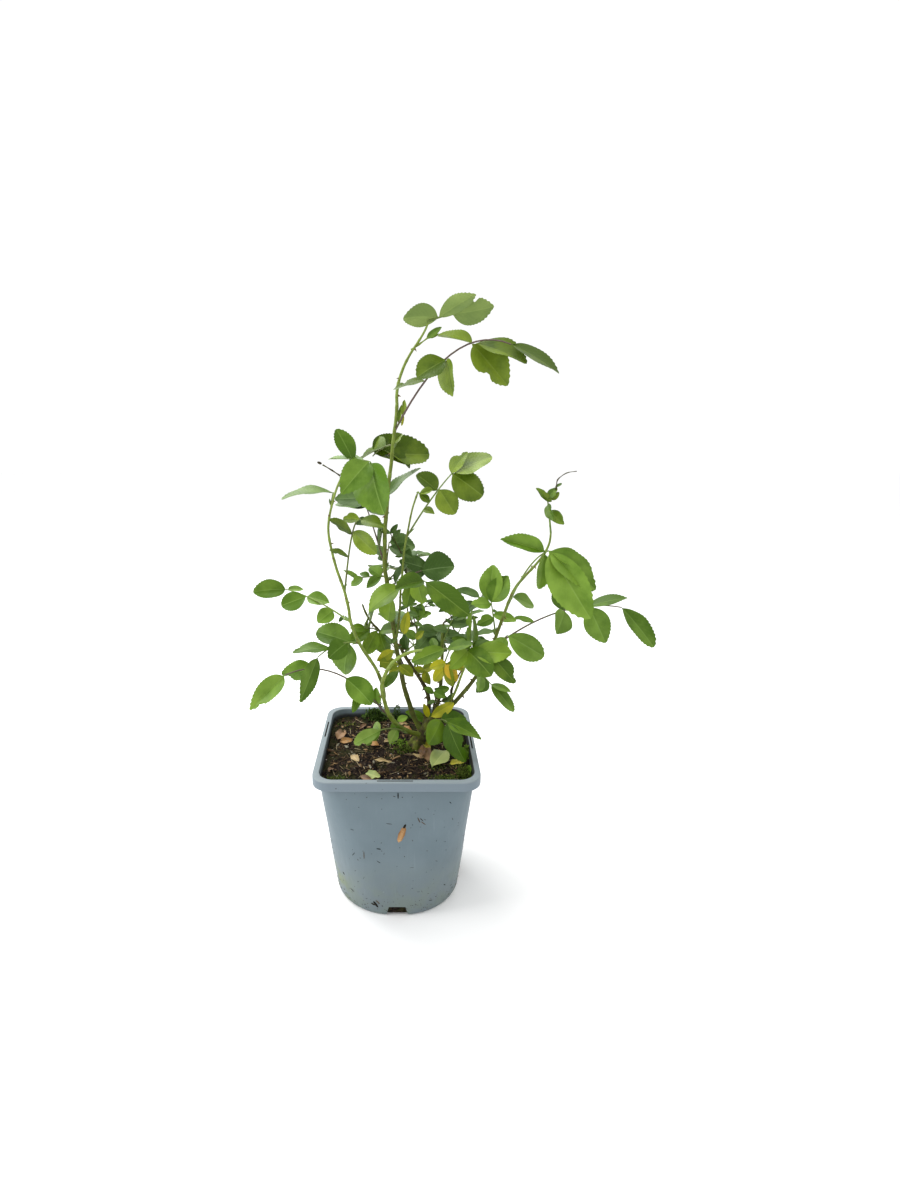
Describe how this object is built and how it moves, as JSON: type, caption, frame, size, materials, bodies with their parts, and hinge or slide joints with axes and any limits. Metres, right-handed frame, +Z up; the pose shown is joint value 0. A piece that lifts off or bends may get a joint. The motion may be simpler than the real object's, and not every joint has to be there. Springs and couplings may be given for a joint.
{
  "type": "potted rose bush",
  "caption": "Young rose bush with arching thorny canes and open compound leaves, growing in compost in a square tapered plastic nursery pot.",
  "frame": {"origin": "centre of the pot's flat underside, on the ground", "axes": "+Z up; -Y is the front side of the square pot, which faces the viewer; +X is the viewer's right"},
  "size_m": [0.5007, 0.2814, 0.7357],
  "materials": {
    "pot_plastic": "weathered grey-blue moulded plastic",
    "compost": "moist compost with bark chips",
    "old_bark": "rough brown bark",
    "cane_bark": "smooth green cane bark, brown near the foot",
    "foliage": "satin green leaf"
  },
  "bodies": {
    "root": {"cane_arch_low": "cane_bark", "cane_arch_out": "cane_bark", "cane_back_left": "cane_bark", "cane_centre": "cane_bark", "cane_dark": "cane_bark", "cane_left_low": "cane_bark", "cane_left_top": "cane_bark", "cane_mid_shoot": "cane_bark", "cane_right_low": "cane_bark", "cane_right_mid": "cane_bark", "cane_right_top": "cane_bark", "cane_tall_low": "cane_bark", "cane_tall_mid": "cane_bark", "cane_tall_top": "cane_bark", "cane_upright": "cane_bark", "leaves_arch_tip": "foliage", "leaves_back_centre": "foliage", "leaves_back_dark": "foliage", "leaves_back_high": "foliage", "leaves_back_tall": "foliage", "leaves_bright_centre": "foliage", "leaves_centre_back": "foliage", "leaves_centre_left": "foliage", "leaves_dark_inner": "foliage", "leaves_dark_mid": "foliage", "leaves_dark_pair": "foliage", "leaves_dark_upper": "foliage", "leaves_glossy_right": "foliage", "leaves_inner_left": "foliage", "leaves_inner_right": "foliage", "leaves_left_high": "foliage", "leaves_left_inner": "foliage", "leaves_left_long": "foliage", "leaves_left_low": "foliage", "leaves_left_mid": "foliage", "leaves_low_back": "foliage", "leaves_low_front": "foliage", "leaves_low_left": "foliage", "leaves_mid_left_small": "foliage", "leaves_narrow_back": "foliage", "leaves_right_long": "foliage", "leaves_right_low": "foliage", "leaves_right_low_leaf": "foliage", "leaves_right_tip": "foliage", "leaves_shoot_leaf": "foliage", "leaves_shoot_tip": "foliage", "leaves_top": "foliage", "leaves_twig_left": "foliage", "leaves_twig_right": "foliage", "leaves_upper_right": "foliage", "leaves_upright_centre": "foliage", "leaves_upright_right": "foliage", "leaves_whorl_back": "foliage", "leaves_whorl_front": "foliage", "leaves_yellow_inner": "foliage", "pot": "pot_plastic", "soil": "compost", "stump": "old_bark"}
  },
  "joints": []
}
